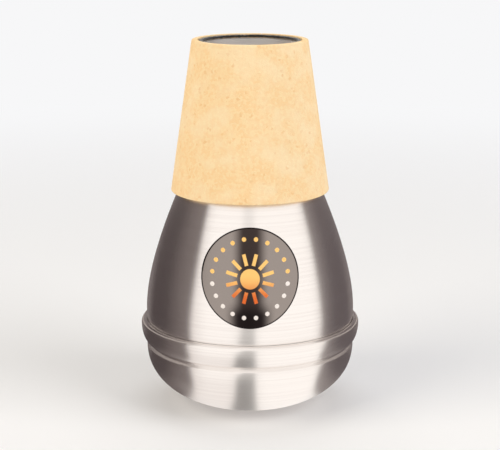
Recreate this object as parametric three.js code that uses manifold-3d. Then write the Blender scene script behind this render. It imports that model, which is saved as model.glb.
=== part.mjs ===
// A compact practice mute for a trumpet: a spun body and base, a cork cone round the neck, and a
// throat funnel, an air tube and three vents inside. Millimetres, +Z up, with the origin at the
// centre of the flat foot. The label faces -Y and the cork's seam faces +Y.

import * as THREE from 'three';
import { mergeVertices } from 'three/addons/utils/BufferGeometryUtils.js';
import Module from 'manifold-3d';

const wasm = await Module();
wasm.setup();

// Sheet, fits and mesh counts
const sheet = 0.75;
const fitGap = 0.25;
const cutOverrun = 2;
const wallSides = 56;
const tubeSides = 32;
const ventSides = 16;

// Base: a bowl on a flat foot, a crease, and a band whose upper edge rolls in to the body
const footRadius = 11;
const footRun = 9;
const footLift = 1.6;
const bowlHeight = 16.2;
const bowlPull = 9.3;
const creaseRise = 0.8;
const creaseDepth = 0.6;
const bandHeight = 6.5;
const bandPull = 1.5;
const bandStand = 1.5;

// Body: a flank down inside the band, then a long shoulder up to the neck
const bodyRadius = 28.5;
const seatRise = 0.7;
const flankRise = 2.9;
const flankPull = 6;
const shoulderHeight = 32.6;
const uprightHeight = 11.5;
const neckFootRadius = 19.65;
const neckTopRadius = 13.85;
const neckHeight = 40;

// Cork: one sheet wrapped round the neck
const corkThickness = 1.6;
const corkFootStand = 0.3;
const corkEdgeRound = 0.5;
const seamWidth = 0.3;
const seamLean = THREE.MathUtils.degToRad(9);

// Felt edging on the neck's mouth
const tipFeltWidth = 0.9;
const tipFeltHeight = 0.6;
const tipFeltRecess = 0.15;

// Round label
const labelRadius = 12.7;
const labelThickness = 0.3;
const labelRise = 4.7;

// Throat funnel and air tube
const throatDepth = 15;
const funnelSheet = 0.8;
const funnelSkirt = 5;
const funnelDepth = 4.5;
const collarLength = 6;
const tubeRadius = 6;
const tubeWall = 0.8;
const tubeLength = 52;
const tubeInset = 0.5;

// Vents in the foot
const ventCount = 3;
const ventCircleRadius = 7;
const ventRadius = 1.5;
const ventBoreRadius = 0.8;
const ventLength = 6;
const ventFlangeRadius = 2.3;
const ventFlangeThickness = 0.6;
const ventRecess = 0.15;

// Glue bead inside the seam
const glueRise = 2.5;
const glueDrop = 2.8;
const glueDepth = 1.2;

// Heights and radii that follow from these
const creaseHeight = bowlHeight + creaseRise;
const bandTop = creaseHeight + bandHeight;
const bandBore = bodyRadius + fitGap;
const bandEdgeRound = bandStand - fitGap;
const flankTop = bandTop + flankRise;
const neckFoot = flankTop + shoulderHeight;
const neckTop = neckFoot + neckHeight;
const neckTaper = (neckFootRadius - neckTopRadius) / neckHeight;
const coneStretch = Math.hypot(1, neckTaper);
const corkTop = neckTop + fitGap + tipFeltHeight + tipFeltRecess;
const funnelTop = neckTop - throatDepth;
const collarBore = tubeRadius + fitGap;

const finishes = {
  brushedAluminium: { color: 0xd9d6d2, roughness: 0.32, metalness: 1 },
  innerAluminium: { color: 0xc9c7c4, roughness: 0.38, metalness: 1 },
  cork: { color: 0xf3cf98, roughness: 0.92, metalness: 0 },
  felt: { color: 0x1d1b1c, roughness: 1, metalness: 0 },
  label: { color: 0x1b191a, roughness: 0.35, metalness: 0 },
  glue: { color: 0xc8b98c, roughness: 0.5, metalness: 0 },
};

function point(radius, height) {
  return new THREE.Vector2(radius, height);
}

function neckRadiusAt(height) {
  return neckFootRadius - (height - neckFoot) * neckTaper;
}

// Moves an outline sideways, to the left of the way it runs, and keeps its wall even at corners
function offsetOutline(outline, distance) {
  const normals = [];
  for (let i = 1; i < outline.length; i += 1) {
    const along = outline[i].clone().sub(outline[i - 1]).normalize();
    normals.push(point(-along.y, along.x));
  }
  return outline.map((corner, i) => {
    const before = normals[Math.max(i - 1, 0)];
    const after = normals[Math.min(i, normals.length - 1)];
    const share = distance / (1 + before.dot(after));
    return corner.clone().add(before.clone().add(after).multiplyScalar(share));
  });
}

// Closes an outline into the section of a sheet that lies to its left
function sheetSection(outline, thickness) {
  return [...outline, ...offsetOutline(outline, thickness).reverse()];
}

// Turns a section round the vertical axis. It runs up its outer side and down its inner side
function turn(section, sides) {
  const onAxis = section[0].x === 0;
  const loop = onAxis ? section : [...section, section[0]];
  return new THREE.LatheGeometry(loop, sides).rotateX(Math.PI / 2);
}

function ring(innerRadius, outerRadius, bottom, top, sides) {
  const section = [
    point(innerRadius, bottom),
    point(outerRadius, bottom),
    point(outerRadius, top),
    point(innerRadius, top),
  ];
  return turn(section, sides);
}

function toManifold(geometry) {
  const bare = geometry.clone();
  bare.deleteAttribute('normal');
  bare.deleteAttribute('uv');
  const merged = mergeVertices(bare);
  const vertProperties = new Float32Array(merged.attributes.position.array);
  const triVerts = new Uint32Array(merged.index.array);
  return new wasm.Manifold(new wasm.Mesh({ numProp: 3, vertProperties, triVerts }));
}

function toGeometry(solid) {
  const mesh = solid.getMesh();
  const geometry = new THREE.BufferGeometry();
  geometry.setAttribute('position', new THREE.BufferAttribute(mesh.vertProperties, mesh.numProp));
  geometry.setIndex(new THREE.BufferAttribute(mesh.triVerts, 1));
  geometry.computeVertexNormals();
  return geometry;
}

function cut(geometry, cutters) {
  let solid = toManifold(geometry);
  for (const cutter of cutters) {
    solid = solid.subtract(toManifold(cutter));
  }
  return toGeometry(solid);
}

function named(name, geometry, finish) {
  const mesh = new THREE.Mesh(geometry, new THREE.MeshStandardMaterial(finish));
  mesh.name = name;
  return mesh;
}

// Where a rising outline comes to a height
function pointAt(outline, height) {
  const next = outline.findIndex((corner) => corner.y >= height);
  const from = outline[next - 1];
  const to = outline[next];
  return from.clone().lerp(to, (height - from.y) / (to.y - from.y));
}

// The part of a rising outline between two heights
function stretch(outline, low, high) {
  const between = outline.filter((corner) => corner.y > low && corner.y < high);
  return [pointAt(outline, low), ...between, pointAt(outline, high)];
}

// The body's outer face from its widest level up to the neck
function shoulderOutline() {
  const stations = 7;
  return new THREE.QuadraticBezierCurve(
    point(bodyRadius, flankTop),
    point(bodyRadius, flankTop + uprightHeight),
    point(neckFootRadius, neckFoot),
  ).getPoints(stations);
}

// The bowl leaves the foot nearly flat and comes up straight under the crease
function bowlOutline() {
  const stations = 11;
  return new THREE.CubicBezierCurve(
    point(footRadius, 0),
    point(footRadius + footRun, footLift),
    point(bodyRadius, bowlHeight - bowlPull),
    point(bodyRadius, bowlHeight),
  ).getPoints(stations);
}

// The band swells out from the crease, and its upper edge rolls in to the bore that the body stands in
function bandOutline() {
  const stations = 5;
  const bandRadius = bodyRadius + bandStand;
  const edgeFoot = bandTop - bandEdgeRound;
  const side = new THREE.QuadraticBezierCurve(
    point(bodyRadius - creaseDepth, creaseHeight),
    point(bandRadius, creaseHeight + bandPull),
    point(bandRadius, edgeFoot),
  );
  const edge = new THREE.EllipseCurve(bandBore, edgeFoot, bandEdgeRound, bandEdgeRound, 0, Math.PI / 2);
  return [...side.getPoints(stations), ...edge.getPoints(stations).slice(1)];
}

function cupOutline() {
  return [point(0, 0), ...bowlOutline(), ...bandOutline()];
}

// The body's lower edge stops just above the crease, inside the band
function flankOutline() {
  const stations = 4;
  const seat = pointAt(offsetOutline(cupOutline(), sheet + fitGap), creaseHeight + seatRise);
  return new THREE.QuadraticBezierCurve(
    seat,
    point(bodyRadius, flankTop - flankPull),
    point(bodyRadius, flankTop),
  ).getPoints(stations);
}

function ventPlaces() {
  return Array.from({ length: ventCount }, (_, i) => {
    const angle = Math.PI / 2 + (i / ventCount) * 2 * Math.PI;
    return point(ventCircleRadius * Math.cos(angle), ventCircleRadius * Math.sin(angle));
  });
}

function bodyShell() {
  const outline = [
    ...flankOutline().slice(0, -1),
    ...shoulderOutline(),
    point(neckTopRadius, neckTop),
  ];
  return named('body_shell', turn(sheetSection(outline, sheet), wallSides), finishes.brushedAluminium);
}

function baseCup() {
  const cup = turn(sheetSection(cupOutline(), sheet), wallSides);
  const holes = ventPlaces().map((place) => {
    const depth = sheet + 2 * cutOverrun;
    const hole = new THREE.CylinderGeometry(ventRadius + fitGap, ventRadius + fitGap, depth, ventSides);
    return hole.rotateX(Math.PI / 2).translate(place.x, place.y, depth / 2 - cutOverrun);
  });
  return named('base_cup', cut(cup, holes), finishes.brushedAluminium);
}

function corkSleeve() {
  const inner = (height) => neckRadiusAt(height) + fitGap;
  const outer = (height) => inner(height) + corkThickness * coneStretch;
  const foot = neckFoot + corkFootStand;
  const section = [
    point(inner(foot), foot),
    point(outer(foot) - corkEdgeRound, foot),
    point(outer(foot + corkEdgeRound), foot + corkEdgeRound),
    point(outer(corkTop - corkEdgeRound), corkTop - corkEdgeRound),
    point(outer(corkTop) - corkEdgeRound, corkTop),
    point(inner(corkTop), corkTop),
  ];
  const length = corkTop - foot;
  const seam = new THREE.BoxGeometry(seamWidth, neckFootRadius, length + 2 * cutOverrun)
    .rotateY(seamLean)
    .translate(0, (outer(foot) + inner(corkTop)) / 2, foot + length / 2);
  return named('cork_sleeve', cut(turn(section, wallSides), [seam]), finishes.cork);
}

function tipFeltRing() {
  const outerRadius = neckTopRadius - fitGap;
  const bottom = neckTop + fitGap;
  const geometry = ring(outerRadius - tipFeltWidth, outerRadius, bottom, bottom + tipFeltHeight, wallSides);
  return named('tip_felt_ring', geometry, finishes.felt);
}

// A skin over the shoulder, cut round by a cylinder that points at the front
function labelDisc() {
  const face = offsetOutline(shoulderOutline(), -fitGap - labelThickness);
  const skin = turn(sheetSection(face, labelThickness), wallSides);
  const depth = bodyRadius + cutOverrun;
  const punch = new THREE.CylinderGeometry(labelRadius, labelRadius, depth, wallSides)
    .translate(0, -depth / 2, bandTop + labelRise + labelRadius);
  const label = toGeometry(toManifold(skin).intersect(toManifold(punch)));
  return named('label_disc', label, finishes.label);
}

// A skirt inside the neck, a bell mouth, and a collar round the tube
function throatFunnel() {
  const stations = 6;
  const skirtRadius = (height) => neckRadiusAt(height) - sheet * coneStretch - fitGap;
  const mouth = new THREE.QuadraticBezierCurve(
    point(skirtRadius(funnelTop), funnelTop),
    point(collarBore, funnelTop),
    point(collarBore, funnelTop - funnelDepth),
  ).getPoints(stations);
  const outline = [
    point(skirtRadius(funnelTop - funnelSkirt), funnelTop - funnelSkirt),
    ...mouth,
    point(collarBore, funnelTop - funnelDepth - collarLength),
  ];
  return named('throat_funnel', turn(sheetSection(outline, funnelSheet), wallSides), finishes.innerAluminium);
}

function airTube() {
  const top = funnelTop - funnelDepth - tubeInset;
  const geometry = ring(tubeRadius - tubeWall, tubeRadius, top - tubeLength, top, tubeSides);
  return named('air_tube', geometry, finishes.innerAluminium);
}

function ventTube(place, index) {
  const seat = sheet + fitGap;
  const section = [
    point(ventBoreRadius, ventRecess),
    point(ventRadius, ventRecess),
    point(ventRadius, seat),
    point(ventFlangeRadius, seat),
    point(ventFlangeRadius, seat + ventFlangeThickness),
    point(ventRadius, seat + ventFlangeThickness),
    point(ventRadius, ventRecess + ventLength),
    point(ventBoreRadius, ventRecess + ventLength),
  ];
  const vent = named(`vent_tube_${index + 1}`, turn(section, ventSides), finishes.innerAluminium);
  vent.position.set(place.x, place.y, 0);
  return vent;
}

// Fills the corner under the body's lower edge and climbs a little way up inside it
function seamGlueRing() {
  const seat = flankOutline()[0];
  const wall = seat.x - sheet - fitGap;
  const section = [
    ...stretch(offsetOutline(cupOutline(), sheet + fitGap), seat.y - glueDrop, seat.y - fitGap),
    point(wall, seat.y - fitGap),
    point(wall, seat.y + glueRise),
    point(wall - glueDepth, seat.y),
  ];
  return named('seam_adhesive_ring', turn(section, wallSides), finishes.glue);
}

const mute = new THREE.Group();
mute.add(
  bodyShell(),
  baseCup(),
  corkSleeve(),
  tipFeltRing(),
  labelDisc(),
  throatFunnel(),
  airTube(),
  seamGlueRing(),
  ...ventPlaces().map(ventTube),
);

export default mute;
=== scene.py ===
import math
import bpy
import numpy as np
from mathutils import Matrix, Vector, noise


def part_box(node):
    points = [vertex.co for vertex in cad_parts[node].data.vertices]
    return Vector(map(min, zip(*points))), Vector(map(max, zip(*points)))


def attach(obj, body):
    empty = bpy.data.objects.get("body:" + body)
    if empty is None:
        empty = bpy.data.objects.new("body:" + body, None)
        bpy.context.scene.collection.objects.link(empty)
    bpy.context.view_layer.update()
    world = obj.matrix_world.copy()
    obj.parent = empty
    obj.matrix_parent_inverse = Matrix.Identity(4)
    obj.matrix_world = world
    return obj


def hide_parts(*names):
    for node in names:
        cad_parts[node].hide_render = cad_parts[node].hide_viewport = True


# A compact trumpet practice mute: the looks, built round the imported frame. Metres, +Z up, label towards -Y.
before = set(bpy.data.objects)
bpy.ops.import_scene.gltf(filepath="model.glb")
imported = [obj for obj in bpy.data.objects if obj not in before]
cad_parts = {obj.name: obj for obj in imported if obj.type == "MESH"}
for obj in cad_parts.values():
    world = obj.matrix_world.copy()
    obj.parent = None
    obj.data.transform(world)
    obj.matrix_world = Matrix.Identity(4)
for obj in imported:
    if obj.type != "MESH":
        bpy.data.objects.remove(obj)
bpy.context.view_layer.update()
print("frame loaded:", len(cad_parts), "nodes")


# Shader sums and nodes

class Wire:
    # an output socket; sums written on it add their Math nodes
    def __init__(self, finish, socket):
        self.finish = finish
        self.socket = socket

    def maths(self, operation, first, second=0.0):
        return self.finish.add("Math", {"operation": operation}, {0: first, 1: second})

    def __add__(self, other):
        return self.maths("ADD", self, other)

    def __radd__(self, other):
        return self.maths("ADD", other, self)

    def __sub__(self, other):
        return self.maths("SUBTRACT", self, other)

    def __rsub__(self, other):
        return self.maths("SUBTRACT", other, self)

    def __mul__(self, other):
        return self.maths("MULTIPLY", self, other)

    def __rmul__(self, other):
        return self.maths("MULTIPLY", other, self)

    def __truediv__(self, other):
        return self.maths("DIVIDE", self, other)

    def __pow__(self, other):
        return self.maths("POWER", self, other)


class Finish:
    # one material or world, and the nodes in it
    def __init__(self, holder):
        self.holder = holder
        holder.use_nodes = True
        self.tree = holder.node_tree
        self.tree.nodes.clear()

    def add(self, kind, settings=None, sockets=None, out=0):
        node = self.tree.nodes.new("ShaderNode" + kind)
        for name, value in (settings or {}).items():
            if name == "stops":
                fillRamp(node.color_ramp, value)
            else:
                setattr(node, name, value)
        for name, value in (sockets or {}).items():
            if isinstance(value, Wire):
                self.tree.links.new(value.socket, node.inputs[name])
            else:
                node.inputs[name].default_value = value
        return Wire(self, node.outputs[out]) if len(node.outputs) else node

    def place(self):
        spot = self.add("TexCoord", out="Object")
        axes = self.add("SeparateXYZ", {}, {0: spot}).socket.node.outputs
        return spot, [Wire(self, axis) for axis in axes]

    def step(self, value, low, high):
        return self.add("MapRange", {"interpolation_type": "SMOOTHSTEP"},
                        {"Value": value, "From Min": low, "From Max": high})

    def blendColour(self, share, first, second):
        return self.add("Mix", {"data_type": "RGBA"}, {0: share, 6: first, 7: second}, out=2)

    def grain(self, x, y, z, detail=2.0, roughness=0.5):
        spot = self.add("CombineXYZ", {}, {0: x, 1: y, 2: z})
        return self.add("TexNoise", {}, {"Vector": spot, "Scale": 1.0, "Detail": detail, "Roughness": roughness})

    def surface(self, **sockets):
        shader = self.add("BsdfPrincipled", {}, {name.replace("_", " "): value for name, value in sockets.items()})
        self.add("OutputMaterial", {}, {"Surface": shader})
        return self.holder


def fillRamp(ramp, stops):
    while len(ramp.elements) < len(stops):
        ramp.elements.new(1.0)
    for element, (place, colour) in zip(ramp.elements, stops):
        element.position = place
        element.color = colour


def newFinish(name):
    return Finish(bpy.data.materials.new(name))


def tint(red, green, blue):
    # an sRGB colour, 0 to 255, as the linear colour that a socket takes
    shares = [channel / 255 for channel in (red, green, blue)]
    linear = [share / 12.92 if share <= 0.04045 else ((share + 0.055) / 1.055) ** 2.4 for share in shares]
    return (*linear, 1.0)


# Outlines, as (radius, height, corner rounding), running up the outer side

def bezier(*points, steps):
    last = len(points) - 1
    curve = []
    for t in [i / steps for i in range(steps + 1)]:
        shares = [math.comb(last, k) * t ** k * (1 - t) ** (last - k) for k in range(last + 1)]
        curve.append(tuple(sum(share * value for share, value in zip(shares, values)) for values in zip(*points)))
    return curve


def plain(points):
    return [(radius, height, 0.0) for radius, height in points]


def offset(outline, distance):
    # moves an outline to its left, with an even wall at corners
    spots = [Vector(point[:2]) for point in outline]
    along = [(b - a).normalized() for a, b in zip(spots, spots[1:])]
    normals = [Vector((-d.y, d.x)) for d in along]
    moved = []
    for i, spot in enumerate(spots):
        before, after = normals[max(i - 1, 0)], normals[min(i, len(normals) - 1)]
        reach = distance / (1 + before.dot(after))
        moved.append((*(spot + (before + after) * reach), outline[i][2]))
    return moved


def sheetLoop(outline, thickness, edgeRound=0.0):
    # the closed section of a sheet on the left of its outline
    inner = offset(outline, thickness)
    outer = [(*point[:2], edgeRound) if i == len(outline) - 1 or (i == 0 and point[0] > 0) else point
             for i, point in enumerate(outline)]
    inner = [(*point[:2], edgeRound) if i == len(inner) - 1 or (i == 0 and point[0] > 0) else point
             for i, point in enumerate(inner)]
    return outer + inner[::-1]


def soften(loop, steps=5):
    # each corner with a rounding becomes a short curve
    smooth = []
    for i, (radius, height, rounding) in enumerate(loop):
        if not rounding:
            smooth.append((radius, height))
            continue
        corner = Vector((radius, height))
        before, after = Vector(loop[i - 1][:2]) - corner, Vector(loop[(i + 1) % len(loop)][:2]) - corner
        half = before.angle(after) / 2
        back = min(rounding / math.tan(half), before.length * 0.45, after.length * 0.45)
        ends = [corner + side.normalized() * back for side in (before, after)]
        smooth += bezier(ends[0], corner, ends[1], steps=steps)
    return smooth


# Meshes

sharpFrom = 38          # degrees between two faces, from which their edge is shaded sharp
onAxisWithin = 1e-7


def newPiece(name, verts, faces, node, finish, sharpAngle=sharpFrom):
    mesh = bpy.data.meshes.new(name)
    mesh.from_pydata([tuple(v) for v in verts], [], faces)
    mesh.validate()
    mesh.shade_smooth()
    mesh.set_sharp_from_angle(angle=math.radians(sharpAngle))
    piece = bpy.data.objects.new(name, mesh)
    bpy.context.scene.collection.objects.link(piece)
    mesh.materials.append(finish)
    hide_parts(node)
    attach(piece, "root")
    return piece


def turnedMesh(loop, sides, centre=(0.0, 0.0)):
    # a section turned round the vertical axis; a point on the axis becomes one vertex
    verts, rings = [], []
    for radius, height in loop:
        start = len(verts)
        count = 1 if radius < onAxisWithin else sides
        rings.append((start, count))
        for i in range(count):
            angle = 2 * math.pi * i / sides
            verts.append((centre[0] + radius * math.cos(angle), centre[1] + radius * math.sin(angle), height))
    onAxis = rings[0][1] == 1
    pairs = list(zip(rings, rings[1:])) + ([] if onAxis else [(rings[-1], rings[0])])
    faces = []
    for (low, lowCount), (high, highCount) in pairs:
        for i in range(sides):
            j = (i + 1) % sides
            corners = [low + i % lowCount, low + j % lowCount, high + j % highCount, high + i % highCount]
            faces.append(list(dict.fromkeys(corners)))
    return verts, faces


def turned(name, loop, sides, node, finish, centre=(0.0, 0.0)):
    verts, faces = turnedMesh(loop, sides, centre)
    return newPiece(name, verts, faces, node, finish)


# Spun aluminium: fine lines round the axis, bright along them and soft across them

spunLook = {
    "crest": tint(245, 241, 238),
    # painted shade: the bottoms of the spun lines are painted darker than their crests
    "grooveShade": tint(240, 235, 232),
    "grooveShadeSpan": (0.3, 0.7),
    "roughness": 0.25,
    "roughSpread": 0.03,
    "lineScale": 2600,         # lines to the metre, before the finer octaves
    "hairScale": 8200,
    "aroundScale": 14,         # how soon a line changes on its way round
    "hairAround": 3,           # and how much sooner a hair does
    "lineShare": 0.6,          # of the relief; the hairs have the rest
    "lineDepth": 0.0000010,
    "cloudScale": 90,
    "cloudSpread": 0.04,
    "anisotropy": 0.78,
    "neckRough": 0.30,         # added on the plain inner face of the neck, which is duller
    "neckMatt": 0.25,
}


def spunMetal(name, look, inside=None):
    # inside gives the share of a spot, from its radius and height, that is on the plain inner face
    finish = newFinish(name)
    _, (x, y, z) = finish.place()
    radius = (x * x + y * y) ** 0.5
    along = z + radius
    around, sooner, wide = look["aroundScale"], look["hairAround"], look["cloudScale"]
    lines = finish.grain(x * around, y * around, along * look["lineScale"], detail=3.0, roughness=0.6)
    hairs = finish.grain(x * around * sooner, y * around * sooner, along * look["hairScale"], detail=1.0)
    cloud = finish.grain(x * wide, y * wide, z * wide, detail=3.0)
    rough = look["roughness"] + (hairs + lines - 1.0) * look["roughSpread"] + (cloud - 0.5) * look["cloudSpread"]
    metallic = 1.0
    if inside:
        share = inside(finish, radius, z)
        rough = rough + share * look["neckRough"]
        metallic = 1 - share * look["neckMatt"]
    # the spun lines are the metal's own; their darker bottoms are painted shade
    colour = finish.blendColour(finish.step(lines, *look["grooveShadeSpan"]), look["crest"], look["grooveShade"])
    height = lines * look["lineShare"] + hairs * (1 - look["lineShare"])
    bump = finish.add("Bump", {}, {"Strength": 1.0, "Distance": look["lineDepth"], "Height": height})
    return finish.surface(Base_Color=colour, Metallic=metallic, Roughness=rough, Normal=bump,
                          Anisotropic=look["anisotropy"], Anisotropic_Rotation=0.25)


spunAluminium = spunMetal("spunAluminium", spunLook)
innerAluminium = spunMetal("innerAluminium", dict(spunLook, crest=tint(240, 238, 235), grooveShade=tint(226, 223, 220),
                                                   roughness=0.36, anisotropy=0.6))
print("metals made")


# Body: the neck under the cork, the long shoulder, and the wall that goes down into the band

shellSize = {
    "sheet": 0.00075,
    "edgeRadius": 0.02719,     # the lower edge, inside the band
    "widestHeight": 0.0264,
    "flankPull": 0.0060,
    "neckFoot": (0.01965, 0.0590),
    "neckTopRadius": 0.01385,
    "uprightHeight": 0.0115,
    "kneeRound": 0.0012,
    "edgeRound": 0.0002,
    "innerFace": (0.0003, 0.0004),     # how deep in the sheet the inner face's own finish starts
    "innerFade": 0.001,
    "sides": 256,
}
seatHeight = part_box("body_shell")[0].z
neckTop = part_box("body_shell")[1].z
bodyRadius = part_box("body_shell")[1].x
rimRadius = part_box("base_cup")[1].x
neckTaper = (shellSize["neckFoot"][0] - shellSize["neckTopRadius"]) / (neckTop - shellSize["neckFoot"][1])


def flank(size, steps=16):
    widest = (bodyRadius, size["widestHeight"])
    return bezier((size["edgeRadius"], seatHeight), (bodyRadius, widest[1] - size["flankPull"]), widest, steps=steps)


def shoulder(size, steps=48):
    low = size["widestHeight"]
    return bezier((bodyRadius, low), (bodyRadius, low + size["uprightHeight"]), size["neckFoot"], steps=steps)


def neckRadius(height):
    # the neck's outer face, at a height that is a number or a socket
    footRadius, footHeight = shellSize["neckFoot"]
    return footRadius - (height - footHeight) * neckTaper


def insideNeck(finish, radius, z):
    footHeight = shellSize["neckFoot"][1]
    deep = finish.step(neckRadius(z) - radius, *shellSize["innerFace"])
    return deep * finish.step(z, footHeight, footHeight + shellSize["innerFade"])


def makeShell(size):
    outline = plain([*flank(size)[:-1], *shoulder(size)[:-1]])
    outline += [(*size["neckFoot"], size["kneeRound"]), (size["neckTopRadius"], neckTop, 0.0)]
    loop = soften(sheetLoop(outline, size["sheet"], size["edgeRound"]))
    shellMetal = spunMetal("shellAluminium", spunLook, insideNeck)
    return turned("spunBody", loop, size["sides"], "body_shell", shellMetal)


makeShell(shellSize)


# Base: foot, bowl, crease and band, with three vent holes in the foot

cupSize = {
    "sheet": 0.00075,
    "footRadius": 0.0110,
    "footRun": 0.0090,
    "footLift": 0.0016,
    "footRound": 0.0016,
    "bowlHeight": 0.0162,
    "bowlPull": 0.0093,
    "creaseRise": 0.0008,
    "creasePull": 0.00005,
    "creaseDepth": 0.0006,
    "creaseRound": 0.00012,
    "bandPull": 0.0015,
    "bandEdge": 0.0011,        # how far the band turns in at its upper edge
    "liningEdge": 0.0012,      # and how far its inner face does
    "boreGap": 0.00003,        # between the body and the band's upper edge
    "ventHoleRadius": 0.00175,
    "bowlSteps": 48,
    "edgeSteps": 12,           # from the bowl's side to the crease
    "bandSteps": 24,
    "turnSteps": 16,
    "holeSides": 48,
    "sides": 256,
}


def bowl(size, crease, edgeSteps):
    foot, top = size["footRadius"], size["bowlHeight"]
    side = bezier((foot, 0.0), (foot + size["footRun"], size["footLift"]), (bodyRadius, top - size["bowlPull"]),
                  (bodyRadius, top), steps=size["bowlSteps"])
    edge = bezier((bodyRadius, top), (bodyRadius, top + size["creasePull"]), crease, steps=edgeSteps)
    return side + edge[1:]


def band(size, crease, edge):
    # swells out from the crease, and turns in to the body at its upper edge
    top, hub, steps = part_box("base_cup")[1].z, rimRadius - edge, size["turnSteps"]
    pull = (rimRadius, crease[1] + size["bandPull"])
    side = bezier(crease, pull, (rimRadius, top - edge), steps=size["bandSteps"])
    angles = [math.pi / 2 * i / steps for i in range(1, steps + 1)]
    turn = [(hub + edge * math.cos(a), top - edge + edge * math.sin(a)) for a in angles]
    return side[1:] + turn + [(bodyRadius + size["boreGap"], top)]


def ventCentres():
    boxes = [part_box(node) for node in sorted(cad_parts) if node.startswith("vent_tube")]
    return [((low + high) / 2, low, high) for low, high in boxes]


def cutHoles(piece, radius, depth, sides):
    # takes round holes out of a piece, and keeps its smooth faces smooth
    verts, faces = [], []
    for centre, _, _ in ventCentres():
        loop = [(0.0, -depth), (radius, -depth), (radius, depth), (0.0, depth)]
        moreVerts, moreFaces = turnedMesh(loop, sides, centre[:2])
        faces += [[corner + len(verts) for corner in face] for face in moreFaces]
        verts += moreVerts
    mesh = bpy.data.meshes.new("punch")
    mesh.from_pydata(verts, [], faces)
    punch = bpy.data.objects.new("punch", mesh)
    bpy.context.scene.collection.objects.link(punch)
    hole = piece.modifiers.new("holes", "BOOLEAN")
    hole.operation = "DIFFERENCE"
    hole.solver = "EXACT"
    hole.object = punch
    bpy.context.view_layer.update()
    made = bpy.data.meshes.new_from_object(piece.evaluated_get(bpy.context.evaluated_depsgraph_get()))
    piece.modifiers.clear()
    piece.data = made
    made.set_sharp_from_angle(angle=math.radians(sharpFrom))
    bpy.data.objects.remove(punch)


def cupOutline(size, bandEdge, edgeSteps=1):
    crease = (bodyRadius - size["creaseDepth"], size["bowlHeight"] + size["creaseRise"])
    curve = bowl(size, crease, edgeSteps)
    outline = [(0.0, 0.0, 0.0), (*curve[0], size["footRound"]), *plain(curve[1:-1])]
    return outline + [(*crease, size["creaseRound"]), *plain(band(size, crease, bandEdge))]


def makeCup(size):
    # the lining is its own outline: its edges are wider, and it has no rounding over the bowl
    lining = offset(cupOutline(size, size["liningEdge"]), size["sheet"])
    loop = soften(cupOutline(size, size["bandEdge"], size["edgeSteps"]) + lining[::-1])
    piece = turned("spunBase", loop, size["sides"], "base_cup", spunAluminium)
    cutHoles(piece, size["ventHoleRadius"], 3 * size["sheet"], size["holeSides"])
    return piece


makeCup(cupSize)
print("body and base made")


# Cork: a sheet of pressed grains wrapped into a cone, with a slanted butt seam at the back

corkSize = {
    "thickness": 0.0016,
    "fitGap": 0.00025,
    "footHeight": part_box("cork_sleeve")[0].z,
    "topHeight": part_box("cork_sleeve")[1].z,
    "cutThicker": 1.01,        # the cone cuts the sheet a little thicker
    "edgeRound": 0.00055,
    "innerRound": 0.0001,
    "edgeRows": 4,             # rows given up to the rounding at each end
    "rows": 190,
    "columns": 420,
    "seamLean": math.radians(9),
    "seamOpening": 0.00016,
    "seamSink": 0.00005,
    "pitDepth": 0.00007,
    "pitFrom": 0.32,
    "pitGain": 2.2,
    "grainScale": 1000,
    "swell": 0.00004,
    "swellScale": 220,
}

corkLook = {
    "pale": tint(253, 223, 174),
    "warm": tint(251, 214, 161),
    "light": tint(254, 232, 192),
    "fleck": tint(237, 186, 126),
    "pit": tint(226, 170, 112),
    "grainScale": 1500,
    "bendFineness": 1.4,       # of the grain's scale, for the noise that bends the grains' edges
    "bendReach": 0.0007,
    "warmSpan": (0.15, 0.85),  # spans say where a mask goes from none to all, and shares how strong it is
    "patchScale": 160,
    "patchSpan": (0.42, 0.66),
    "patchShare": 0.6,
    "streakScale": (900, 90),  # round the cone and along it, as sanding runs along it
    "streakSpan": (0.5, 0.8),
    "streakShare": 0.35,
    "fleckSpan": (0.965, 0.99),
    "fleckShare": 0.4,
    "gapWidth": 0.09,
    "gapShare": 0.14,
    "fineScale": 3200,
    "pitSpan": (0.72, 0.82),
    "pitShare": 0.25,
    "relief": 0.00006,
    "grainEdge": 0.25,
    "roughness": 0.86,
    "roughSpread": 0.2,
}


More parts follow.
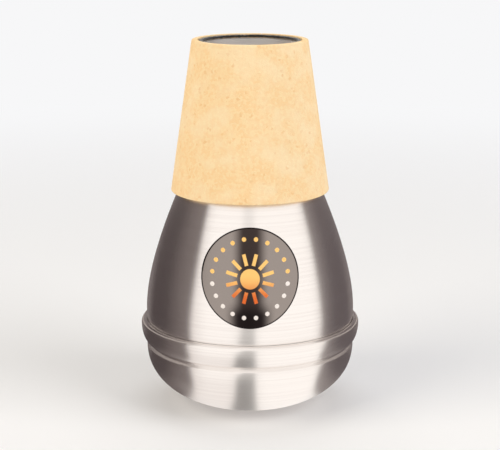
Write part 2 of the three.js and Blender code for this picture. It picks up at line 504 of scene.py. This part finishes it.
def corkMaterial(look):
    finish = newFinish("pressedCork")
    spot, (x, y, z) = finish.place()
    grain, wide, small = look["grainScale"], look["patchScale"], look["fineScale"]
    bend = finish.add("TexNoise", {}, {"Vector": spot, "Scale": grain * look["bendFineness"], "Detail": 2.0},
                      out="Color")
    push = finish.add("VectorMath", {"operation": "SCALE"}, {0: bend, "Scale": look["bendReach"]}, out=0)
    bent = finish.add("VectorMath", {"operation": "ADD"}, {0: spot, 1: push})
    cell = finish.add("TexVoronoi", {}, {"Vector": bent, "Scale": grain}, out="Color")
    edge = finish.add("TexVoronoi", {"feature": "DISTANCE_TO_EDGE"}, {"Vector": bent, "Scale": grain})
    chance, kind, _ = [Wire(finish, o) for o in finish.add("SeparateColor", {}, {0: cell}).socket.node.outputs]
    patch = finish.grain(x * wide, y * wide, z * wide, detail=3.0)
    fine = finish.grain(x * small, y * small, z * small, detail=2.0)
    colour = finish.blendColour(finish.step(kind, *look["warmSpan"]), look["pale"], look["warm"])
    lit = finish.step(patch, *look["patchSpan"]) * look["patchShare"]
    colour = finish.blendColour(lit, colour, look["light"])
    turn, run = look["streakScale"]
    streak = finish.grain(x * turn, y * turn, z * run, detail=2.0)
    streak = finish.step(streak, *look["streakSpan"]) * look["streakShare"]
    colour = finish.blendColour(streak, colour, look["warm"])
    fleck = finish.step(chance, *look["fleckSpan"]) * look["fleckShare"]
    colour = finish.blendColour(fleck, colour, look["fleck"])
    gap = 1 - finish.step(edge, 0.0, look["gapWidth"])
    colour = finish.blendColour(gap * look["gapShare"], colour, look["fleck"])
    pit = finish.step(fine, *look["pitSpan"])
    colour = finish.blendColour(pit * look["pitShare"], colour, look["pit"])
    height = finish.step(edge, 0.0, look["grainEdge"]) * 0.5 + fine * 0.4 - pit * 0.6
    bump = finish.add("Bump", {}, {"Strength": 1.0, "Distance": look["relief"], "Height": height})
    rough = look["roughness"] + (fine - 0.5) * look["roughSpread"]
    return finish.surface(Base_Color=colour, Roughness=rough, Normal=bump, Specular_IOR_Level=0.3)


def corkRadius(height):
    # inner radius of the wrapped sheet
    return neckRadius(height) + corkSize["fitGap"]


def makeCork(size, finish):
    low, high = size["footHeight"], size["topHeight"]
    outerRound, innerRound, skipped = size["edgeRound"], size["innerRound"], size["edgeRows"]
    wall = size["thickness"] * size["cutThicker"]
    heights = np.linspace(low, high, size["rows"])
    face = [(corkRadius(h) + wall, h) for h in heights]
    corners = [(corkRadius(low), low, innerRound), (*face[0], outerRound), *plain(face[skipped:-skipped])]
    corners += [(*face[-1], outerRound), (corkRadius(high), high, innerRound)]
    loop = soften(corners)
    middle = (low + high) / 2
    verts, faces = [], []
    columns, rows = size["columns"], len(loop)
    for i in range(columns + 1):
        share = i / columns
        sink = size["seamSink"] if i in (0, columns) else 0.0
        for radius, height in loop:
            slide = math.tan(size["seamLean"]) * (height - middle)
            seam = math.pi / 2 - math.asin(slide / radius)
            half = size["seamOpening"] / 2 / radius
            angle = seam + half + share * (2 * math.pi - 2 * half)
            outer = radius > corkRadius(height) + wall / 2
            spot = Vector((radius * math.cos(angle), radius * math.sin(angle), height))
            if outer:
                swell = noise.noise(spot * size["swellScale"]) * size["swell"]
                hollow = max(0.0, noise.noise(spot * size["grainScale"]) - size["pitFrom"])
                pit = hollow * size["pitGain"] * size["pitDepth"]
                spot -= Vector((spot.x, spot.y, 0)).normalized() * (sink + pit + abs(swell))
            verts.append(spot)
    for i in range(columns):
        for j in range(rows):
            k = (j + 1) % rows
            faces.append([i * rows + j, (i + 1) * rows + j, (i + 1) * rows + k, i * rows + k])
    faces.append(list(range(rows))[::-1])
    faces.append([columns * rows + j for j in range(rows)])
    return newPiece("corkSleeve", verts, faces, "cork_sleeve", finish, sharpAngle=60)


makeCork(corkSize, corkMaterial(corkLook))
print("cork made")


# Label: a round dark foil sticker that follows the body, with a plain sunburst in a ring of dots

labelSize = {
    "radius": 0.0127,
    "centreHeight": (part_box("label_disc")[0].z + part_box("label_disc")[1].z) / 2,
    "lift": 0.00003,
    "thickness": 0.00014,
    "rings": 26,
    "spokes": 128,
}

labelLook = {
    "foil": tint(152, 143, 138),
    # the two darker foil colours are painted reflection: one down the middle, one at the foot below it; the second
    # is also the colour of the printed rim
    "paintedMiddleReflection": tint(66, 57, 55),
    "paintedFootReflectionAndRim": tint(38, 32, 32),
    "gold": tint(255, 205, 120),
    "orange": tint(226, 104, 32),
    "white": tint(246, 238, 232),
    "discRadius": 0.20,        # these are shares of the label's radius
    "rays": 12,
    "rayStart": 0.27,
    "rayEnd": 0.50,
    "rayWidth": 0.036,
    "dots": 20,
    "dotRing": 0.78,
    "dotRadius": 0.044,
    "rimRadius": 0.975,
    "soft": 0.008,
    "goldFrom": (-0.42, 0.10),     # going up, where the orange ink turns to gold
    "dotGoldFrom": (-0.06, 0.0),   # and the white dots to gold
    "middleSpan": (0.12, 0.40),    # going out from the middle, where the painted dark reflection down the middle ends
    "paintedFootSpan": (0.2, 0.55),
    "paintedFootRise": (-0.75, -0.40),
    "speckScale": 2600,
    "roughness": 0.24,
    "roughSpread": 0.12,
    "inkRough": 0.12,
    "inkMatt": 0.8,
    "relief": 0.00001,
}


def labelMaterial(look, size):
    finish = newFinish("printedFoilPaintedReflection")
    _, (x, _, z) = finish.place()
    u = x / size["radius"]
    v = (z - size["centreHeight"]) / size["radius"]
    reach = (u * u + v * v) ** 0.5
    turn = finish.add("Math", {"operation": "ARCTAN2"}, {0: v, 1: u}) / (2 * math.pi) + 1.0
    soft = look["soft"]

    def inside(distance, edge):
        return 1 - finish.step(distance, edge - soft, edge + soft)

    def across(count):
        # how far round from the nearest of so many evenly spaced spokes, in shares of the radius
        part = finish.add("Math", {"operation": "FRACT"}, {0: turn * count})
        return finish.add("Math", {"operation": "ABSOLUTE"}, {0: part - 0.5}) * reach * (2 * math.pi / count)

    disc = inside(reach, look["discRadius"])
    rays = inside(across(look["rays"]), look["rayWidth"])
    rays = rays * (1 - inside(reach, look["rayStart"])) * inside(reach, look["rayEnd"])
    beside = across(look["dots"])
    away = reach - look["dotRing"]
    dots = inside((beside * beside + away * away) ** 0.5, look["dotRadius"])
    glow = finish.blendColour(finish.step(v, *look["goldFrom"]), look["orange"], look["gold"])
    aside = finish.add("Math", {"operation": "ABSOLUTE"}, {0: u})
    # painted reflection: the foil is painted darker down the middle, and darker still at its foot; the dark ring at
    # the rim is print
    foil = finish.blendColour(1 - finish.step(aside, *look["middleSpan"]), look["foil"], look["paintedMiddleReflection"])
    foot = (1 - finish.step(aside, *look["paintedFootSpan"])) * (1 - finish.step(v, *look["paintedFootRise"]))
    foil = finish.blendColour(foot, foil, look["paintedFootReflectionAndRim"])
    foil = finish.blendColour(1 - inside(reach, look["rimRadius"]), foil, look["paintedFootReflectionAndRim"])
    colour = finish.blendColour(disc + rays, foil, glow)
    spots = finish.blendColour(finish.step(v, *look["dotGoldFrom"]), look["white"], look["gold"])
    colour = finish.blendColour(dots, colour, spots)
    ink = disc + rays + dots
    small = look["speckScale"]
    speck = finish.grain(x * small, 0.0, z * small, detail=2.0)
    rough = look["roughness"] + (speck - 0.5) * look["roughSpread"] + ink * look["inkRough"]
    bump = finish.add("Bump", {}, {"Strength": 0.5, "Distance": look["relief"], "Height": speck + ink})
    return finish.surface(Base_Color=colour, Metallic=1 - ink * look["inkMatt"], Roughness=rough, Normal=bump)


def makeLabel(size, finish):
    outline = shoulder(shellSize, 200)
    heights = [height for _, height in outline]
    radii = [radius for radius, _ in outline]

    def spot(ring, spoke, lift):
        angle = 2 * math.pi * spoke / size["spokes"]
        x = ring * math.sin(angle)
        z = size["centreHeight"] + ring * math.cos(angle)
        radius = float(np.interp(z, heights, radii)) + lift
        return (x, -math.sqrt(radius * radius - x * x), z)

    back, front = size["lift"], size["lift"] + size["thickness"]
    edge = size["thickness"] / 2
    levels = [(0.0, back), *[(size["radius"] * i / size["rings"], back) for i in range(1, size["rings"] + 1)]]
    levels += [(size["radius"], front - edge)]
    levels += [((size["radius"] - edge) * i / size["rings"], front) for i in range(size["rings"], 0, -1)]
    levels += [(0.0, front)]
    verts, starts = [], []
    for ring, lift in levels:
        starts.append(len(verts))
        verts += [spot(ring, spoke, lift) for spoke in range(size["spokes"] if ring else 1)]
    faces = []
    for low, high in zip(range(len(levels)), range(1, len(levels))):
        lowCount, highCount = [size["spokes"] if levels[k][0] else 1 for k in (low, high)]
        for i in range(size["spokes"]):
            j = (i + 1) % size["spokes"]
            corners = [starts[low] + i % lowCount, starts[low] + j % lowCount,
                       starts[high] + j % highCount, starts[high] + i % highCount]
            faces.append(list(dict.fromkeys(corners))[::-1])
    return newPiece("roundLabel", verts, faces, "label_disc", finish, sharpAngle=30)


makeLabel(labelSize, labelMaterial(labelLook, labelSize))
print("label made")


# Felt edging on the neck's mouth

feltSize = {"width": 0.0009, "round": 0.00022, "fuzz": 0.00005, "fuzzScale": 2600, "sides": 220}

feltLook = {
    "dark": tint(22, 20, 21),
    "pale": tint(52, 48, 49),
    "fibreScale": 4200.0,
    "fibreDepth": 0.0001,
    "roughness": 0.95,
    "roughSpread": 0.05,
    "sheen": 0.5,
}


def feltMaterial(look):
    finish = newFinish("blackFelt")
    spot, _ = finish.place()
    fibre = finish.add("TexNoise", {}, {"Vector": spot, "Scale": look["fibreScale"], "Detail": 3.0})
    colour = finish.blendColour(fibre, look["dark"], look["pale"])
    bump = finish.add("Bump", {}, {"Strength": 1.0, "Distance": look["fibreDepth"], "Height": fibre})
    return finish.surface(Base_Color=colour, Roughness=look["roughness"] + fibre * look["roughSpread"],
                          Normal=bump, Sheen_Weight=look["sheen"], Sheen_Roughness=0.5)


def makeFelt(size, finish):
    low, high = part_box("tip_felt_ring")
    outer, inner = high.x, high.x - size["width"]
    corners = [(inner, low.z), (outer, low.z), (outer, high.z), (inner, high.z)]
    loop = soften([(*corner, size["round"]) for corner in corners], 4)
    verts, faces = turnedMesh(loop, size["sides"])
    verts = [Vector(v) for v in verts]
    verts = [v * (1 - abs(noise.noise(v * size["fuzzScale"])) * size["fuzz"] / outer) for v in verts]
    return newPiece("feltEdging", verts, faces, "tip_felt_ring", finish, sharpAngle=80)


makeFelt(feltSize, feltMaterial(feltLook))


# Throat funnel, air tube, vents and the glue in the seam

innerSize = {
    "funnelSheet": 0.0008,
    "funnelDepth": 0.0045,
    "funnelLip": 0.0006,
    "skirt": 0.005,
    "fitGap": 0.00025,
    "tubeWall": 0.0008,
    "ventBore": 0.0008,
    "ventRadius": 0.0015,
    "ventSeat": 0.00100,
    "ventFlange": 0.0006,
    "edgeRound": 0.00018,
    "sides": 192,
    "ventSides": 64,
}


def makeFunnel(size):
    low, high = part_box("throat_funnel")
    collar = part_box("air_tube")[1].x + size["fitGap"]
    skirtFoot = (high.x, high.z - size["skirt"])
    skirtTop = (high.x - neckTaper * size["skirt"], high.z)
    mouth = bezier(skirtTop, (collar, high.z), (collar, high.z - size["funnelDepth"]), steps=28)
    outline = plain([skirtFoot, *mouth, (collar, low.z)])
    outline[1] = (*outline[1][:2], size["funnelLip"])
    loop = soften(sheetLoop(outline, size["funnelSheet"], size["edgeRound"]))
    return turned("throatFunnel", loop, size["sides"], "throat_funnel", innerAluminium)


def makeTube(size):
    low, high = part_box("air_tube")
    bore = high.x - size["tubeWall"]
    corners = [(bore, low.z), (high.x, low.z), (high.x, high.z), (bore, high.z)]
    loop = soften([(*corner, size["edgeRound"]) for corner in corners])
    return turned("airTube", loop, size["sides"], "air_tube", innerAluminium)


def makeVents(size):
    for i, (centre, low, high) in enumerate(ventCentres()):
        seat, flange = size["ventSeat"], size["ventFlange"]
        outer, bore, wide = size["ventRadius"], size["ventBore"], (high.x - low.x) / 2
        corners = [(bore, low.z), (outer, low.z), (outer, seat), (wide, seat), (wide, seat + flange)]
        corners += [(outer, seat + flange), (outer, high.z), (bore, high.z)]
        loop = soften([(*corner, size["edgeRound"]) for corner in corners], 3)
        turned(f"ventTube{i + 1}", loop, size["ventSides"], f"vent_tube_{i + 1}",
               innerAluminium, centre[:2])


glueSize = {
    "fitGap": 0.00025,
    "topRound": 0.0001,
    "bead": 0.0012,            # how far the bead stands in from the wall
    "beadRound": 0.0008,
    "uneven": 0.0001,
    "sinkShare": 0.6,          # keeps the uneven surface inside the bead
    "unevenScale": 180,
    "sides": 192,
}

glueLook = {
    "dark": tint(176, 150, 96),
    "pale": tint(214, 196, 150),
    "cloudScale": 300.0,
    "relief": 0.0002,
    "roughness": 0.25,
    "roughSpread": 0.25,
}


def glueMaterial(look):
    finish = newFinish("amberGlue")
    spot, _ = finish.place()
    cloud = finish.add("TexNoise", {}, {"Vector": spot, "Scale": look["cloudScale"], "Detail": 3.0})
    colour = finish.blendColour(cloud, look["dark"], look["pale"])
    bump = finish.add("Bump", {}, {"Strength": 0.6, "Distance": look["relief"], "Height": cloud})
    return finish.surface(Base_Color=colour, Roughness=look["roughness"] + cloud * look["roughSpread"],
                          Normal=bump)


def makeGlue(size, finish):
    low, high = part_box("seam_adhesive_ring")
    wall = shellSize["edgeRadius"] - shellSize["sheet"] - size["fitGap"]
    edge = seatHeight - size["fitGap"]
    against = offset(cupOutline(cupSize, cupSize["liningEdge"]), cupSize["sheet"] + size["fitGap"])
    against = [point for point in against if low.z < point[1] < edge]
    corners = [*plain([point[:2] for point in against]), (wall, edge, 0.0), (wall, high.z, size["topRound"]),
               (wall - size["bead"], seatHeight, size["beadRound"])]
    verts, faces = turnedMesh(soften(corners), size["sides"])
    moved = []
    for v in [Vector(v) for v in verts]:
        outward = Vector((v.x, v.y, 0)).normalized()
        push = noise.noise(v * size["unevenScale"]) - size["sinkShare"]
        moved.append(v + outward * push * size["uneven"])
    return newPiece("seamGlue", moved, faces, "seam_adhesive_ring", finish)


makeFunnel(innerSize)
makeTube(innerSize)
makeVents(innerSize)
makeGlue(glueSize, glueMaterial(glueLook))
print("inside pieces made")


# Floor, light and camera

stageLook = {
    "floor": tint(240, 240, 241),
    "far": tint(247, 247, 248),     # what the camera sees of the floor and the backdrop away from the mute
    "sky": tint(250, 250, 252),
    "middle": 0.05,                 # half the mute's height, which the lamps aim at
    "nearRadius": 0.12,
    "farRadius": 0.55,
    "floorRadius": 3.0,
    "wallHeight": 1.6,
    "worldLight": 0.34,
    "tentRadius": 1.9,
}

cameraLook = {"distance": 0.400, "height": 0.1424, "pitch": 13.12, "lens": 108}

# What the metal mirrors: pale panels to the left and right of a slot, dark sides, and a pale top. It stands
# still, and is laid out for the main view, by the slope of the surface that mirrors each spot of it there: how
# far that surface's normal points to the right (x) and up (z).
tentLook = {
    "strength": 1.12,
    "panel": tint(255, 251, 247),
    "panelShade": tint(234, 228, 224),
    "leftDark": tint(78, 70, 70),
    "rightDark": tint(96, 88, 89),
    "leftInner": tint(112, 103, 101),
    "rightInner": tint(138, 130, 128),
    "edge": tint(124, 116, 115),
    "top": tint(246, 241, 237),
    "floor": tint(156, 149, 146),
    "leftPanel": (-0.566, -0.078),
    "rightPanel": (0.048, 0.68),
    "lean": (0.15, -0.18),       # how the outer edges move in as the surface turns up or down
    "rightTurn": 0.06,           # and how much less on the right as it turns up
    "slotShift": 0.05,           # how far the slot's left edge moves where the surface turns down
    "slotTurn": (-0.14, 0.0),
    "soft": 0.05,
    "slotLevels": [(0.0, 0.31), (0.40, 0.31), (0.47, 0.56), (0.61, 0.62), (0.67, 0.84), (0.80, 0.96)],
    "middleSpan": (-0.2, 0.2),   # across, where the left's darks turn to the right's
    "darkFrom": (0.62, 0.82),
    "edgeFrom": (0.91, 0.98),
    "floorFrom": (-0.95, -0.60),
    "floorBack": (-0.1, 0.25),
    "leftShade": (-0.58, -0.38),
    "rightShade": (0.58, 0.70),
    "lowShade": (-0.25, -0.05),  # the left panel is shaded where the surface turns down
    "lowShadeEnd": (-0.12, 0.0),
    "lowShadeShare": 0.7,
    "topFrom": (0.78, 0.92),
    "steepFrom": (0.43, 0.50),   # where a surface turns up more than this, the sides stay dark all the way up
    "ring": (0.56, 0.66),        # but for a pale ring all round, for the crease
    "ringLight": tint(226, 216, 208),
}

lampLook = [
    {"name": "leftLamp", "azimuth": -60, "elevation": 32, "distance": 1.1, "size": 0.8, "power": 6.4,
     "colour": (1.0, 0.93, 0.80)},
    {"name": "rightLamp", "azimuth": 60, "elevation": 32, "distance": 1.1, "size": 0.8, "power": 6.5,
     "colour": (1.0, 0.99, 0.98)},
    {"name": "topLamp", "azimuth": 180, "elevation": 68, "distance": 1.1, "size": 0.9, "power": 4.1,
     "colour": (1.0, 0.985, 0.965)},
]


def onStage(name, verts, faces, finish):
    mesh = bpy.data.meshes.new(name)
    mesh.from_pydata(verts, [], faces)
    mesh.shade_smooth()
    thing = bpy.data.objects.new(name, mesh)
    bpy.context.scene.collection.objects.link(thing)
    mesh.materials.append(finish)
    return thing


def seenDirectly(finish):
    # 1 for what the camera sees straight or by way of metal and glass, 0 for light on its way to matt surfaces
    rays = finish.add("LightPath").socket.node.outputs
    seen = Wire(finish, rays["Is Camera Ray"])
    for kind in ("Is Glossy Ray", "Is Transmission Ray"):
        seen = finish.add("Math", {"operation": "MAXIMUM"}, {0: seen, 1: Wire(finish, rays[kind])})
    return seen


def makeFloor(look):
    finish = newFinish("paleFloor")
    _, (x, y, z) = finish.place()
    away = finish.step((x * x + y * y) ** 0.5, look["nearRadius"], look["farRadius"])
    lit = finish.add("BsdfDiffuse", {}, {"Color": look["floor"]})
    glow = finish.add("Emission", {}, {"Color": look["far"], "Strength": 1.0})
    both = finish.add("MixShader", {}, {0: away * seenDirectly(finish), 1: lit, 2: glow})
    finish.add("OutputMaterial", {}, {"Surface": both})
    edge, rise = look["floorRadius"], look["wallHeight"]
    loop = [(0.0, 0.0), *bezier((edge * 0.7, 0.0), (edge, 0.0), (edge, rise), steps=24)]
    verts, faces = turnedMesh(loop, 96)
    floor = onStage("floor", verts, faces, finish.holder)
    floor.visible_glossy = False
    return floor


def makeTent(look, stage):
    finish = newFinish("lightTent")
    spot, _ = finish.place()
    toCamera = Vector((0.0, -cameraLook["distance"], cameraLook["height"] - stage["middle"])).normalized()
    outward = finish.add("VectorMath", {"operation": "NORMALIZE"}, {0: spot})
    half = finish.add("VectorMath", {"operation": "ADD"}, {0: outward, 1: tuple(toCamera)})
    half = finish.add("VectorMath", {"operation": "NORMALIZE"}, {0: half})
    _, back, high = [Wire(finish, axis) for axis in finish.add("SeparateXYZ", {}, {0: outward}).socket.node.outputs]
    across, _, up = [Wire(finish, axis) for axis in finish.add("SeparateXYZ", {}, {0: half}).socket.node.outputs]
    steep = finish.step(up, *look["steepFrom"])
    across = across / (1.001 - up * up * steep) ** 0.5      # just over 1, so that it divides by something
    aside, rise = [finish.add("Math", {"operation": "ABSOLUTE"}, {0: way}) for way in (across, up)]
    shift = 1 - finish.step(up, *look["slotTurn"])
    soft = look["soft"] / 2

    def between(value, low, high):
        return finish.step(value - low, -soft, soft) * (1 - finish.step(value - high, -soft, soft))

    left, right = look["leftPanel"], look["rightPanel"]
    side = finish.step(across, *look["middleSpan"])
    inner = finish.blendColour(side, look["leftInner"], look["rightInner"])
    dark = finish.blendColour(side, look["leftDark"], look["rightDark"])
    dark = finish.blendColour(finish.step(aside, *look["darkFrom"]), inner, dark)
    dark = finish.blendColour(finish.step(aside, *look["edgeFrom"]), dark, look["edge"])
    floor = (1 - finish.step(high, *look["floorFrom"])) * finish.step(back, *look["floorBack"])
    dark = finish.blendColour(floor, dark, look["floor"])
    shade = 1 - finish.step(across, *look["leftShade"]) + finish.step(across, *look["rightShade"])
    low = (1 - finish.step(up, *look["lowShade"])) * (1 - finish.step(across, *look["lowShadeEnd"]))
    shade = shade + low * look["lowShadeShare"]
    panel = finish.blendColour(shade, look["panel"], look["panelShade"])
    level = finish.add("ValToRGB", {"stops": [(place, (share, share, share, 1.0))
                                              for place, share in look["slotLevels"]]}, {0: up * 0.5 + 0.5})
    slot = between(across, left[1] - shift * look["slotShift"], right[0])
    panel = finish.add("Mix", {"data_type": "RGBA", "blend_type": "MULTIPLY"}, {0: slot, 6: panel, 7: level}, out=2)
    rightEdge = rise * look["lean"][1] + up * look["rightTurn"] + right[1]
    front = between(across, rise * look["lean"][0] + left[0], rightEdge)
    colour = finish.blendColour(front, dark, panel)
    colour = finish.blendColour(between(up, *look["ring"]), colour, look["ringLight"])
    colour = finish.blendColour(finish.step(high, *look["topFrom"]), colour, look["top"])
    glow = finish.add("Emission", {}, {"Color": colour, "Strength": look["strength"]})
    finish.add("OutputMaterial", {}, {"Surface": glow})
    finish.holder.cycles.emission_sampling = "NONE"
    radius = stage["tentRadius"]
    loop = [(radius * math.cos(math.radians(a)), radius * math.sin(math.radians(a))) for a in range(-90, 91, 5)]
    loop[0], loop[-1] = (0.0, -radius), (0.0, radius)
    verts, faces = turnedMesh(loop, 72)
    tent = onStage("lightTent", verts, faces, finish.holder)
    tent.visible_camera = False
    tent.visible_diffuse = False
    tent.visible_shadow = False
    tent.visible_transmission = False
    return tent


def makeLamps(lamps, stage):
    target = Vector((0, 0, stage["middle"]))
    for lamp in lamps:
        light = bpy.data.lights.new(lamp["name"], "AREA")
        light.shape = "SQUARE"
        light.size = lamp["size"]
        light.energy = lamp["power"]
        light.color = lamp["colour"]
        thing = bpy.data.objects.new(lamp["name"], light)
        bpy.context.scene.collection.objects.link(thing)
        azimuth, elevation = math.radians(lamp["azimuth"]), math.radians(lamp["elevation"])
        away = Vector((math.sin(azimuth) * math.cos(elevation), -math.cos(azimuth) * math.cos(elevation),
                       math.sin(elevation)))
        thing.location = target + away * lamp["distance"]
        thing.rotation_euler = away.to_track_quat("Z", "Y").to_euler()
        thing.visible_camera = False
        thing.visible_glossy = False


def makeWorld(look):
    world = bpy.data.worlds.new("studio")
    bpy.context.scene.world = world
    finish = Finish(world)
    light = finish.add("Background", {}, {"Color": look["sky"], "Strength": look["worldLight"]})
    backdrop = finish.add("Background", {}, {"Color": look["far"], "Strength": 1.0})
    both = finish.add("MixShader", {}, {0: seenDirectly(finish), 1: light, 2: backdrop})
    finish.add("OutputWorld", {}, {"Surface": both})


def makeCamera(look):
    data = bpy.data.cameras.new("camera")
    data.lens = look["lens"]
    data.sensor_width = 36
    data.clip_start, data.clip_end = 0.01, 20
    camera = bpy.data.objects.new("camera", data)
    bpy.context.scene.collection.objects.link(camera)
    camera.location = (0.0, -look["distance"], look["height"])
    camera.rotation_euler = (math.radians(90 - look["pitch"]), 0.0, 0.0)
    bpy.context.scene.camera = camera


makeFloor(stageLook)
makeTent(tentLook, stageLook)
makeLamps(lampLook, stageLook)
makeWorld(stageLook)
makeCamera(cameraLook)
bpy.context.scene.view_settings.view_transform = "Standard"
print("stage made")
